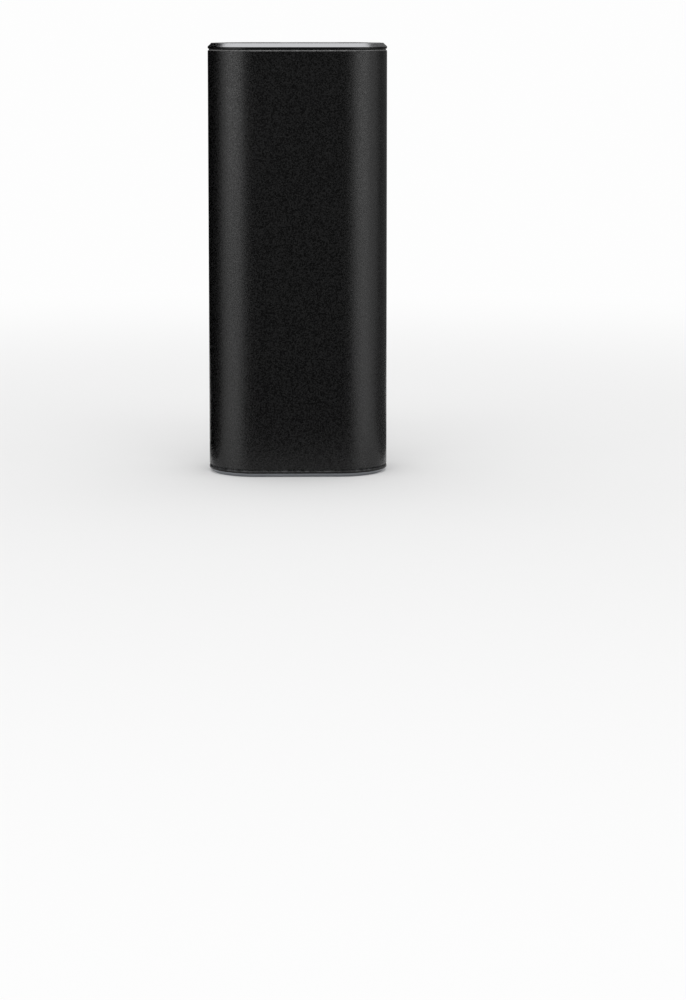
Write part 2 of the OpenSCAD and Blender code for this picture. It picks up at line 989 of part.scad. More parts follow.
// The output socket: a folded shell with two spring leaves on each broad side
module output_socket_shell() {
    leaf_w = 2;
    leaf_l = 5;
    leaf_gap = 0.4;
    leaf_x = 3;
    leaf_tilt = 2.5;
    base_z = mouth_z - usb_out_l;
    leaf_z = mouth_z - 2 - leaf_l;
    color("#c9ccd0")
        translate([usb_out_x, 0, 0]) {
            difference() {
                translate([0, 0, base_z])
                    linear_extrude(usb_out_l)
                        difference() {
                            rounded(usb_out_w, usb_out_h, usb_out_r);
                            rounded(usb_out_w - 2 * shell_t, usb_out_h - 2 * shell_t, usb_out_r / 2);
                        }
                for (sx = [-1, 1])
                    translate([sx * leaf_x - leaf_w / 2 - leaf_gap, -usb_out_h, leaf_z])
                        cube([leaf_w + 2 * leaf_gap, 2 * usb_out_h, leaf_l + leaf_gap]);
            }
            for (sx = [-1, 1], sy = [0, 180])
                rotate([0, 0, sy])
                    translate([sx * leaf_x - leaf_w / 2, usb_out_h / 2 - shell_t, leaf_z - tiny])
                        rotate([leaf_tilt, 0, 0])
                            cube([leaf_w, shell_t, leaf_l]);
        }
}

// The insulator that closes the back of the output socket and carries its contacts
module output_socket_tongue() {
    block_w = usb_out_w - 2 * shell_t - 2 * insert_fit;
    block_h = usb_out_h - 2 * shell_t - 2 * insert_fit;
    base_z = mouth_z - usb_out_l;
    block_top_z = tongue_tip_z - tongue_l;
    color("#e9e9ec")
        translate([usb_out_x, 0, 0]) {
            translate([0, 0, base_z])
                linear_extrude(block_top_z - base_z)
                    rounded(block_w, block_h, 0.4);
            translate([-tongue_w / 2, tongue_y, block_top_z - tiny])
                cube([tongue_w, tongue_t, tongue_l + tiny]);
        }
}

module output_socket_contacts() {
    contact_w = 1;
    contact_t = 0.15;
    contact_in = 0.75;
    outer_x = 3.5;
    inner_x = 1;
    color("#c9a24a")
        for (x = [-outer_x, -inner_x, inner_x, outer_x])
            translate([
                usb_out_x + x - contact_w / 2, tongue_y - contact_t, tongue_tip_z - tongue_l + contact_in
            ])
                cube([contact_w, contact_t, tongue_l - 2 * contact_in]);
}

// The outline of the input socket, moved inwards
module input_outline(inset) {
    rounded(usb_in_w - 2 * inset, usb_in_h - 2 * inset, usb_in_r - inset);
}

module input_socket_shell() {
    color("#c9ccd0")
        translate([usb_in_x, usb_in_y, mouth_z - usb_in_l])
            linear_extrude(usb_in_l)
                difference() {
                    input_outline(0);
                    input_outline(shell_t);
                }
}

// The insulator of the input socket, with its thin central blade
module input_socket_tongue() {
    base_z = mouth_z - usb_in_l;
    block_top_z = blade_tip_z - blade_l;
    color("#2b2b2e")
        translate([usb_in_x, usb_in_y, 0]) {
            translate([0, 0, base_z])
                linear_extrude(block_top_z - base_z)
                    input_outline(shell_t + insert_fit);
            translate([-blade_w / 2, -blade_t / 2, block_top_z - tiny])
                cube([blade_w, blade_t, blade_l + tiny]);
        }
}

module input_socket_contacts() {
    pins = 12;
    pitch = 0.5;
    pin_w = 0.26;
    pin_t = 0.06;
    pin_l = blade_l - 1.1;
    color("#c9a24a")
        for (side = [-1, 1], i = [0 : pins - 1])
            translate([
                usb_in_x + (i - (pins - 1) / 2) * pitch - pin_w / 2,
                usb_in_y + (side > 0 ? blade_t / 2 : -blade_t / 2 - pin_t),
                blade_tip_z - 0.5 - pin_l
            ])
                cube([pin_w, pin_t, pin_l]);
}

// The push switch, with the bore that its plunger slides in
module switch_body() {
    bore_depth = plunger_in + button_travel + slide_clear;
    color("#26262a")
        difference() {
            translate([button_x - switch_w / 2, board_face, switch_top_z - switch_h])
                cube([switch_w, usb_out_h, switch_h]);
            translate([button_x, 0, switch_top_z - bore_depth])
                cylinder(r = plunger_r + slide_clear, h = bore_depth + 1);
        }
}

module switch_plunger() {
    color("#e6e3da")
        translate([button_x, 0, switch_top_z - plunger_in])
            cylinder(r = plunger_r, h = plunger_in + plunger_l);
}

body_tube();
top_cap();
top_fascia();
top_fascia_tape();
top_cap_screws();
bottom_cap();
bottom_cover();
bottom_cover_tape();
bottom_cap_screws();
power_button();
light_guide();
front_carrier();
rear_carrier();
left_cell();
right_cell();
cell_positive_ends();
cell_insulator_rings();
cell_foam_dots();
positive_strip();
negative_strip();
positive_lead();
negative_lead();
front_heating_film();
rear_heating_film();
front_pressure_foam();
rear_pressure_foam();
front_heater_leads();
rear_heater_leads();
thermistor_bead();
thermistor_legs();
control_board();
board_chips();
board_small_parts();
power_choke();
output_capacitor();
charge_lights();
output_socket_shell();
output_socket_tongue();
output_socket_contacts();
input_socket_shell();
input_socket_tongue();
input_socket_contacts();
switch_body();
switch_plunger();
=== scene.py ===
# A rechargeable hand warmer on a pale floor: finishes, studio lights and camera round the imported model.
import math

import bmesh
import bpy
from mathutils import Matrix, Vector


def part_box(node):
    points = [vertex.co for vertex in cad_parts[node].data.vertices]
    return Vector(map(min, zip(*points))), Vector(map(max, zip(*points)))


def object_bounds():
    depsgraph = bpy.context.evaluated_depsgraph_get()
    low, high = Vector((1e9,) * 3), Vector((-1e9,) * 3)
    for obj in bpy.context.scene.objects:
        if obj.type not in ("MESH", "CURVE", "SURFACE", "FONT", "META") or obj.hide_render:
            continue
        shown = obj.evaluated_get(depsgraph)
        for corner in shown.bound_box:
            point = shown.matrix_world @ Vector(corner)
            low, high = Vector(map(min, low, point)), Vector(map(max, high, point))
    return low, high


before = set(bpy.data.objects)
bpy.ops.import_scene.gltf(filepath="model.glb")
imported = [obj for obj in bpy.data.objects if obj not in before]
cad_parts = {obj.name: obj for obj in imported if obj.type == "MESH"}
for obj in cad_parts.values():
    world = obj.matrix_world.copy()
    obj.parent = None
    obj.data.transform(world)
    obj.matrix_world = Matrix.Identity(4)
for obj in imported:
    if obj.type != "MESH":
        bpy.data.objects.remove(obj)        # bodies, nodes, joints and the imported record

cadLow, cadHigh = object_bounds()
mm = 0.001

# Camera: a portrait frame of 686 x 1000, with the object in its upper half
cameraValues = {
    "distance": 0.662,      # in front of the middle of the object
    "aside": -0.00424,
    "height": 0.1096,
    "turn": 1.291,          # degrees to the right
    "dip": 6.376,           # degrees downwards
    "lens": 101.3,
    "sensor": 36.0,
    "axisRow": 320.2,       # the row of the frame that the optical axis meets
    "frameRows": 1000,
    "clip": (0.01, 50),
}


def makeCamera(v):
    turn, dip = math.radians(v["turn"]), math.radians(v["dip"])
    ahead = Vector((math.sin(turn) * math.cos(dip), math.cos(turn) * math.cos(dip), -math.sin(dip)))
    data = bpy.data.cameras.new("studioCamera")
    data.lens = v["lens"]
    data.sensor_width = v["sensor"]
    data.shift_y = (v["axisRow"] - v["frameRows"] / 2) / v["frameRows"]
    data.clip_start, data.clip_end = v["clip"]
    camera = bpy.data.objects.new("studioCamera", data)
    camera.location = (v["aside"], -v["distance"], v["height"])
    camera.rotation_euler = ahead.to_track_quat("-Z", "Y").to_euler()
    bpy.context.scene.collection.objects.link(camera)
    bpy.context.scene.camera = camera


makeCamera(cameraValues)
print("stage 1: camera in place")


# Small helpers for node trees
def addNode(tree, kind, values=None, **settings):
    node = tree.nodes.new(kind)
    for name, value in settings.items():
        setattr(node, name, value)
    for name, value in (values or {}).items():
        socket = node.inputs[name]
        if isinstance(value, bpy.types.NodeSocket):
            tree.links.new(value, socket)
        else:
            socket.default_value = value
    return node


def maths(tree, operation, a, b=0.0, c=0.0, clamp=False):
    node = addNode(tree, "ShaderNodeMath", {0: a, 1: b, 2: c}, operation=operation, use_clamp=clamp)
    return node.outputs[0]


def blendColours(tree, share, first, second):
    node = tree.nodes.new("ShaderNodeMix")
    node.data_type = "RGBA"
    for index, value in ((0, share), (6, first), (7, second)):
        if isinstance(value, bpy.types.NodeSocket):
            tree.links.new(value, node.inputs[index])
        else:
            node.inputs[index].default_value = value
    return node.outputs[2]


def mapRange(tree, value, low, high, toLow=0.0, toHigh=1.0, smooth=True):
    node = addNode(tree, "ShaderNodeMapRange", {
        "Value": value, "From Min": low, "From Max": high, "To Min": toLow, "To Max": toHigh,
    }, interpolation_type="SMOOTHSTEP" if smooth else "LINEAR")
    return node.outputs["Result"]


def startGroup(name, inputs, outputs):
    group = bpy.data.node_groups.new(name, "ShaderNodeTree")
    for label, kind, value in inputs:
        socket = group.interface.new_socket(name=label, in_out="INPUT", socket_type=kind)
        if value is not None:
            socket.default_value = value
    for label, kind in outputs:
        group.interface.new_socket(name=label, in_out="OUTPUT", socket_type=kind)
    source = group.nodes.new("NodeGroupInput")
    sink = group.nodes.new("NodeGroupOutput")
    return group, source.outputs, sink.inputs


floatSocket, vectorSocket = "NodeSocketFloat", "NodeSocketVector"


# Grain of blasted or moulded surfaces: a height for a bump and a value that drifts with it
def makeSurfaceGrain():
    group, given, out = startGroup(
        "surfaceGrain",
        [
            ("Vector", vectorSocket, None), ("Grain size", floatSocket, 0.2 * mm),
            ("Pits", floatSocket, 0.5),
        ],
        [("Height", floatSocket), ("Value", floatSocket)],
    )
    scale = maths(group, "DIVIDE", 1.0, given["Grain size"])
    coarse = addNode(group, "ShaderNodeTexNoise", {
        "Vector": given["Vector"], "Scale": scale, "Detail": 3.0, "Roughness": 0.65,
    })
    pitScale = maths(group, "MULTIPLY", scale, 1.7)
    pits = addNode(group, "ShaderNodeTexVoronoi", {"Vector": given["Vector"], "Scale": pitScale})
    pitDepth = mapRange(group, pits.outputs["Distance"], 0.0, 0.6)
    mixed = addNode(group, "ShaderNodeMix", {
        "Factor": given["Pits"], 2: coarse.outputs["Fac"], 3: pitDepth,
    })
    group.links.new(mixed.outputs[0], out["Height"])
    group.links.new(coarse.outputs["Fac"], out["Value"])
    return group


# Slow drift over a surface, for tone and for where hands have polished it
def makeSlowDrift():
    group, given, out = startGroup(
        "slowDrift",
        [
            ("Vector", vectorSocket, None), ("Patch size", floatSocket, 12 * mm),
            ("Contrast", floatSocket, 1.0),
        ],
        [("Value", floatSocket)],
    )
    scale = maths(group, "DIVIDE", 1.0, given["Patch size"])
    noise = addNode(group, "ShaderNodeTexNoise", {
        "Vector": given["Vector"], "Scale": scale, "Detail": 4.0, "Roughness": 0.55,
    })
    centred = maths(group, "SUBTRACT", noise.outputs["Fac"], 0.5)
    spread = maths(group, "MULTIPLY_ADD", centred, given["Contrast"], 0.5, clamp=True)
    group.links.new(spread, out["Value"])
    return group


# A sloping edge near one height: one for the whole bare face, less where noise leaves the black on
def makeCutEdge():
    group, given, out = startGroup(
        "cutEdge",
        [
            ("Vector", vectorSocket, None), ("Facing", vectorSocket, None),
            ("Edge height", floatSocket, 0.0), ("Reach", floatSocket, 0.3 * mm),
            ("Amount", floatSocket, 1.0), ("Broken", floatSocket, 0.0),
        ],
        [("Mask", floatSocket)],
    )
    wallLimit, levelLimit = 0.3, 0.95   # a normal's share along Z: a wall has less, a level face more
    height = addNode(group, "ShaderNodeSeparateXYZ", {0: given["Vector"]}).outputs["Z"]
    lean = addNode(group, "ShaderNodeSeparateXYZ", {0: given["Facing"]}).outputs["Z"]
    slope = maths(group, "ABSOLUTE", lean)
    away = maths(group, "ABSOLUTE", maths(group, "SUBTRACT", height, given["Edge height"]))
    near = maths(group, "LESS_THAN", away, given["Reach"])
    tilted = maths(group, "GREATER_THAN", slope, wallLimit)
    sloping = maths(group, "MULTIPLY", tilted, maths(group, "LESS_THAN", slope, levelLimit))
    noise = addNode(group, "ShaderNodeTexNoise", {
        "Vector": given["Vector"], "Scale": 900.0, "Detail": 5.0, "Roughness": 0.7,
    })
    chips = mapRange(group, noise.outputs["Fac"], 0.4, 0.65)
    blackLeft = maths(group, "MULTIPLY", maths(group, "SUBTRACT", 1.0, chips), given["Broken"])
    kept = maths(group, "SUBTRACT", 1.0, blackLeft)
    face = maths(group, "MULTIPLY", maths(group, "MULTIPLY", near, sloping), kept)
    group.links.new(maths(group, "MULTIPLY", face, given["Amount"], clamp=True), out["Mask"])
    return group


# Fine lines of rolled or brushed metal: they run along the axis that the stretch makes small
def makeBrushLines():
    group, given, out = startGroup(
        "brushLines",
        [
            ("Vector", vectorSocket, None), ("Stretch", vectorSocket, (1.0, 1.0, 0.03)),
            ("Line size", floatSocket, 0.1 * mm),
        ],
        [("Height", floatSocket)],
    )
    stretched = addNode(group, "ShaderNodeVectorMath", {0: given["Vector"], 1: given["Stretch"]},
                        operation="MULTIPLY")
    scale = maths(group, "DIVIDE", 1.0, given["Line size"])
    noise = addNode(group, "ShaderNodeTexNoise", {
        "Vector": stretched.outputs[0], "Scale": scale, "Detail": 4.0, "Roughness": 0.6,
    })
    group.links.new(noise.outputs["Fac"], out["Height"])
    return group


effects = {
    "grain": makeSurfaceGrain(),
    "drift": makeSlowDrift(),
    "edge": makeCutEdge(),
    "brush": makeBrushLines(),
}
print("stage 2: shared effects built:", ", ".join(effects))


def useEffect(tree, name, **values):
    node = tree.nodes.new("ShaderNodeGroup")
    node.node_tree = effects[name]
    for label, value in values.items():
        socket = node.inputs[label.replace("_", " ")]
        if isinstance(value, bpy.types.NodeSocket):
            tree.links.new(value, socket)
        else:
            socket.default_value = value
    return node.outputs


def startMaterial(name, **fixed):
    material = bpy.data.materials.new(name)
    material.use_nodes = True
    tree = material.node_tree
    tree.nodes.clear()
    shader = tree.nodes.new("ShaderNodeBsdfPrincipled")
    output = tree.nodes.new("ShaderNodeOutputMaterial")
    tree.links.new(shader.outputs[0], output.inputs["Surface"])
    for label, value in fixed.items():
        shader.inputs[label.replace("_", " ")].default_value = value
    place = tree.nodes.new("ShaderNodeTexCoord").outputs["Object"]
    return material, tree, shader, place


def bumpFrom(tree, shader, height, strength, distance):
    bump = addNode(tree, "ShaderNodeBump", {"Height": height, "Strength": strength, "Distance": distance})
    tree.links.new(bump.outputs[0], shader.inputs["Normal"])


def roughFrom(tree, shader, value, limits, low=0.2, high=0.8):
    tree.links.new(mapRange(tree, value, low, high, *limits), shader.inputs["Roughness"])


def grey(level, blue=0.0):
    return (level, level, level + blue, 1.0)


# The tube: black anodised aluminium, blasted before it was dyed, with thin dye on its cut ends
tubeValues = {
    "darkTone": 0.0001,     # the dye between and on the blasted peaks
    "lightTone": 0.0076,
    "bareMetal": 0.5,
    "bareAtTop": 0.75,      # how much of each cut end is free of dye
    "bareAtFoot": 0.1,
    "specular": 0.32,
    "roughness": 0.26,
    "grainSize": 0.33 * mm,
    "grainDepth": 0.05 * mm,
    "grainStrength": 0.95,
    "pits": 0.4,
    "peakFrom": 0.4,        # the grain values between which the tone rises
    "peakTo": 0.6,
    "patchSize": 16 * mm,
    "handling": 0.03,       # how far handling moves the roughness, up and down
    "sparkle": 0.08,        # how far the grain moves it
    "sawnRoughness": 0.18,  # what the cut ends add to it
    "endReach": 0.28 * mm,
    "brokenAtTop": 0.6,     # how much of each cut end the dye breaks up
    "brokenAtFoot": 0.8,
}


def anodisedTube(v):
    material, tree, shader, place = startMaterial("anodisedTube", Specular_IOR_Level=v["specular"])
    facing = tree.nodes.new("ShaderNodeTexCoord").outputs["Normal"]
    grain = useEffect(tree, "grain", Vector=place, Grain_size=v["grainSize"], Pits=v["pits"])
    drift = useEffect(tree, "drift", Vector=place, Patch_size=v["patchSize"], Contrast=1.3)
    low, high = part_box("body_tube")
    lowEnd = useEffect(tree, "edge", Vector=place, Facing=facing, Edge_height=low.z,
                       Reach=v["endReach"], Amount=v["bareAtFoot"], Broken=v["brokenAtFoot"])
    highEnd = useEffect(tree, "edge", Vector=place, Facing=facing, Edge_height=high.z,
                        Reach=v["endReach"], Amount=v["bareAtTop"], Broken=v["brokenAtTop"])
    bare = maths(tree, "MAXIMUM", lowEnd["Mask"], highEnd["Mask"])
    peaks = mapRange(tree, grain["Value"], v["peakFrom"], v["peakTo"])
    dyed = blendColours(tree, peaks, grey(v["darkTone"]), grey(v["lightTone"], 0.0002))
    colour = blendColours(tree, bare, dyed, grey(v["bareMetal"]))
    tree.links.new(colour, shader.inputs["Base Color"])
    tree.links.new(bare, shader.inputs["Metallic"])
    rough = mapRange(tree, drift["Value"], 0.0, 1.0,
                     v["roughness"] - v["handling"], v["roughness"] + v["handling"], smooth=False)
    sparkle = mapRange(tree, grain["Value"], 0.3, 0.7, -v["sparkle"], v["sparkle"], smooth=False)
    dull = maths(tree, "MULTIPLY_ADD", bare, v["sawnRoughness"], maths(tree, "ADD", rough, sparkle))
    tree.links.new(dull, shader.inputs["Roughness"])
    bumpFrom(tree, shader, grain["Height"], v["grainStrength"], v["grainDepth"])
    return material


# The end caps: satin black, with a bright metal band on the outer chamfer; the lower band's metal is
# painted darker as painted shade
capValues = {
    "tone": 0.003,
    "specular": 0.2,
    "roughness": 0.3,
    "patchSize": 5 * mm,
    "grainSize": 0.15 * mm,
    "grainDepth": 0.01 * mm,
    "grainStrength": 0.25,
    "chamferReach": 0.95 * mm,
    "cutRoughness": 0.2,
    "toolMarks": 0.09 * mm,
    "topMetal": (0.56, 0.565, 0.58, 1.0),
    "shadedFootMetal": (0.3, 0.31, 0.33, 1.0),    # the lower cap's band: the top band's cut metal painted darker and a little bluer, as painted shade from below
    "lipReach": 0.4 * mm,                   # the worn lip of the lower cap, where it meets the tube
    "lipBare": 0.12,
    "lipBroken": 0.8,
}


def satinCap(v):
    material, tree, shader, place = startMaterial("satinCap", Specular_IOR_Level=v["specular"])
    facing = tree.nodes.new("ShaderNodeTexCoord").outputs["Normal"]
    drift = useEffect(tree, "drift", Vector=place, Patch_size=v["patchSize"], Contrast=1.5)
    grain = useEffect(tree, "grain", Vector=place, Grain_size=v["grainSize"], Pits=0.3)
    lines = useEffect(tree, "brush", Vector=place, Stretch=(0.05, 0.05, 1.0), Line_size=v["toolMarks"])
    topCut = useEffect(tree, "edge", Vector=place, Facing=facing, Edge_height=cadHigh.z,
                       Reach=v["chamferReach"])
    lowCut = useEffect(tree, "edge", Vector=place, Facing=facing, Edge_height=cadLow.z,
                       Reach=v["chamferReach"])
    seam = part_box("body_tube")[0].z
    lip = useEffect(tree, "edge", Vector=place, Facing=facing, Edge_height=seam, Reach=v["lipReach"],
                    Amount=v["lipBare"], Broken=v["lipBroken"])
    cut = maths(tree, "MAXIMUM", topCut["Mask"], lowCut["Mask"])
    bare = maths(tree, "MAXIMUM", cut, lip["Mask"])
    black = blendColours(tree, drift["Value"], grey(v["tone"] * 0.7), grey(v["tone"] * 1.3))
    # the lower chamfer takes a darker, bluish copy of the band's metal: painted shade, not a different
    # finish
    metal = blendColours(tree, lowCut["Mask"], v["topMetal"], v["shadedFootMetal"])
    tree.links.new(blendColours(tree, bare, black, metal), shader.inputs["Base Color"])
    tree.links.new(bare, shader.inputs["Metallic"])
    satin = mapRange(tree, grain["Value"], 0.3, 0.7,
                     v["roughness"] - 0.05, v["roughness"] + 0.05, smooth=False)
    bright = mapRange(tree, lines["Height"], 0.3, 0.7,
                      v["cutRoughness"] - 0.04, v["cutRoughness"] + 0.06, smooth=False)
    mixed = addNode(tree, "ShaderNodeMix", {"Factor": cut, 2: satin, 3: bright})
    tree.links.new(mixed.outputs[0], shader.inputs["Roughness"])
    bumpFrom(tree, shader, grain["Height"], v["grainStrength"], v["grainDepth"])
    return material


# Moulded plastics with a fine spark-eroded texture; the grain size and depth are in millimetres
def mouldedPlastic(name, colour, roughness=0.45, grainSize=0.12, depth=0.01, specular=0.5, coat=0.0):
    material, tree, shader, place = startMaterial(
        name, Specular_IOR_Level=specular, Coat_Weight=coat, Coat_Roughness=0.1)
    grain = useEffect(tree, "grain", Vector=place, Grain_size=grainSize * mm, Pits=0.35)
    drift = useEffect(tree, "drift", Vector=place, Patch_size=6 * mm, Contrast=1.2)
    dark = tuple(c * 0.82 for c in colour) + (1.0,)
    light = tuple(min(1.0, c * 1.15) for c in colour) + (1.0,)
    tree.links.new(blendColours(tree, drift["Value"], dark, light), shader.inputs["Base Color"])
    rough = mapRange(tree, grain["Value"], 0.3, 0.7, roughness - 0.05, roughness + 0.06, smooth=False)
    tree.links.new(rough, shader.inputs["Roughness"])
    bumpFrom(tree, shader, grain["Height"], 0.4, depth * mm)
    return material


# Plated and rolled metals; the line size and depth are in millimetres
def workedMetal(name, colour, roughness=0.25, stretch=(1.0, 1.0, 0.04), lineSize=0.12, depth=0.006):
    material, tree, shader, place = startMaterial(name, Metallic=1.0)
    lines = useEffect(tree, "brush", Vector=place, Stretch=stretch, Line_size=lineSize * mm)
    drift = useEffect(tree, "drift", Vector=place, Patch_size=3 * mm, Contrast=1.4)
    dark = tuple(c * 0.78 for c in colour) + (1.0,)
    light = tuple(min(1.0, c * 1.06) for c in colour) + (1.0,)
    tree.links.new(blendColours(tree, drift["Value"], dark, light), shader.inputs["Base Color"])
    rough = mapRange(tree, lines["Height"], 0.25, 0.75, roughness - 0.07, roughness + 0.1, smooth=False)
    tree.links.new(rough, shader.inputs["Roughness"])
    bumpFrom(tree, shader, lines["Height"], 0.35, depth * mm)
    return material


# Clear acrylic of the light guide, a little milky
guideValues = {
    "clearness": 0.75,
    "dark": (0.72, 0.78, 0.82, 1.0),
    "light": (0.88, 0.92, 0.95, 1.0),
    "patchSize": 1.5 * mm,
    "roughness": (0.22, 0.36),
}


def frostedGuide(v):
    material, tree, shader, place = startMaterial(
        "frostedGuide", IOR=1.49, Transmission_Weight=v["clearness"])
    drift = useEffect(tree, "drift", Vector=place, Patch_size=v["patchSize"], Contrast=1.2)
    tone = blendColours(tree, drift["Value"], v["dark"], v["light"])
    tree.links.new(tone, shader.inputs["Base Color"])
    roughFrom(tree, shader, drift["Value"], v["roughness"])
    return material


# A shrink sleeve with bare metal at the flat end of the cell
cellValues = {
    "dark": (0.02, 0.11, 0.2, 1.0),
    "light": (0.04, 0.19, 0.31, 1.0),
    "metal": (0.6, 0.6, 0.58, 1.0),
    "bareHeight": 0.25 * mm,
    "patchSize": 9 * mm,
    "roughness": (0.28, 0.42),
}


def cellSleeve(v):
    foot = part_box("left_cell")[0].z
    material, tree, shader, place = startMaterial("cellSleeve", Coat_Weight=0.4, Coat_Roughness=0.2)
    drift = useEffect(tree, "drift", Vector=place, Patch_size=v["patchSize"], Contrast=1.4)
    height = addNode(tree, "ShaderNodeSeparateXYZ", {0: place}).outputs["Z"]
    ends = maths(tree, "LESS_THAN", height, foot + v["bareHeight"])
    sleeve = blendColours(tree, drift["Value"], v["dark"], v["light"])
    tree.links.new(blendColours(tree, ends, sleeve, v["metal"]), shader.inputs["Base Color"])
    tree.links.new(ends, shader.inputs["Metallic"])
    roughFrom(tree, shader, drift["Value"], v["roughness"])
    bumpFrom(tree, shader, drift["Value"], 0.2, 0.05 * mm)
    return material


# Amber film with the etched track that heats it
heaterValues = {
    "trackPitch": 2.6 * mm,
    "trackWidth": 1.5 * mm,
    "border": 1.6 * mm,
    "trackDepth": 0.03 * mm,
    "dark": (0.36, 0.11, 0.015, 1.0),
    "light": (0.5, 0.18, 0.03, 1.0),
    "track": (0.55, 0.27, 0.12, 1.0),
    "patchSize": 8 * mm,
    "roughness": (0.25, 0.4),
}


def heatingFilm(v):
    low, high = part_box("front_heating_film")
    material, tree, shader, place = startMaterial("heatingFilm", Coat_Weight=0.6, Coat_Roughness=0.15)
    parts = addNode(tree, "ShaderNodeSeparateXYZ", {0: place})
    across, up = parts.outputs["X"], parts.outputs["Z"]
    step = maths(tree, "FRACT", maths(tree, "DIVIDE", maths(tree, "SUBTRACT", up, low.z), v["trackPitch"]))
    line = maths(tree, "LESS_THAN", step, v["trackWidth"] / v["trackPitch"])
    inside = maths(tree, "LESS_THAN", maths(tree, "ABSOLUTE", across), high.x - v["border"])
    track = maths(tree, "MULTIPLY", line, inside)
    drift = useEffect(tree, "drift", Vector=place, Patch_size=v["patchSize"], Contrast=1.2)
    film = blendColours(tree, drift["Value"], v["dark"], v["light"])
    tree.links.new(blendColours(tree, track, film, v["track"]), shader.inputs["Base Color"])
    tree.links.new(maths(tree, "MULTIPLY", track, 0.7), shader.inputs["Metallic"])
    roughFrom(tree, shader, drift["Value"], v["roughness"])
    bumpFrom(tree, shader, track, 0.5, v["trackDepth"])
    return material


# Solder mask over copper, with traces that show as a lighter green
boardValues = {
    "dark": (0.006, 0.055, 0.02, 1.0),
    "light": (0.01, 0.085, 0.03, 1.0),
    "trace": (0.025, 0.15, 0.06, 1.0),
    "traceScale": 420.0,
    "traceDepth": 0.03 * mm,
    "patchSize": 5 * mm,
    "roughness": (0.25, 0.38),
}


def solderMask(v):
    material, tree, shader, place = startMaterial("solderMask", Coat_Weight=0.5, Coat_Roughness=0.12)
    cells = addNode(tree, "ShaderNodeTexVoronoi", {"Vector": place, "Scale": v["traceScale"]},
                    distance="CHEBYCHEV", feature="F1")
    traces = mapRange(tree, cells.outputs["Distance"], 0.42, 0.5)
    drift = useEffect(tree, "drift", Vector=place, Patch_size=v["patchSize"], Contrast=1.2)
    mask = blendColours(tree, drift["Value"], v["dark"], v["light"])
    tree.links.new(blendColours(tree, traces, mask, v["trace"]), shader.inputs["Base Color"])
    roughFrom(tree, shader, drift["Value"], v["roughness"])
    bumpFrom(tree, shader, traces, 0.4, v["traceDepth"])
    return material


# Closed-cell foam
foamValues = {
    "dark": 0.03,
    "light": 0.075,
    "cellSize": 0.3 * mm,
    "cellDepth": 0.06 * mm,
    "roughness": (0.8, 0.95),
}


def softFoam(v):
    material, tree, shader, place = startMaterial("softFoam", Sheen_Weight=0.3, Sheen_Roughness=0.5)
    grain = useEffect(tree, "grain", Vector=place, Grain_size=v["cellSize"], Pits=0.85)
    tone = blendColours(tree, grain["Height"], grey(v["dark"]), grey(v["light"]))
    tree.links.new(tone, shader.inputs["Base Color"])
    roughFrom(tree, shader, grain["Value"], v["roughness"], 0.3, 0.7)
    bumpFrom(tree, shader, grain["Height"], 0.8, v["cellDepth"])
    return material


# The charge lights: pale lens over a warm die, unlit
lightValues = {
    "dark": (0.62, 0.55, 0.3, 1.0),
    "light": (0.85, 0.82, 0.66, 1.0),
    "patchSize": 0.8 * mm,
    "roughness": (0.3, 0.45),
}


def lightChip(v):
    material, tree, shader, place = startMaterial("lightChip", IOR=1.5, Coat_Weight=0.5)
    drift = useEffect(tree, "drift", Vector=place, Patch_size=v["patchSize"], Contrast=2.0)
    tone = blendColours(tree, drift["Value"], v["dark"], v["light"])
    tree.links.new(tone, shader.inputs["Base Color"])
    roughFrom(tree, shader, drift["Value"], v["roughness"])
    return material


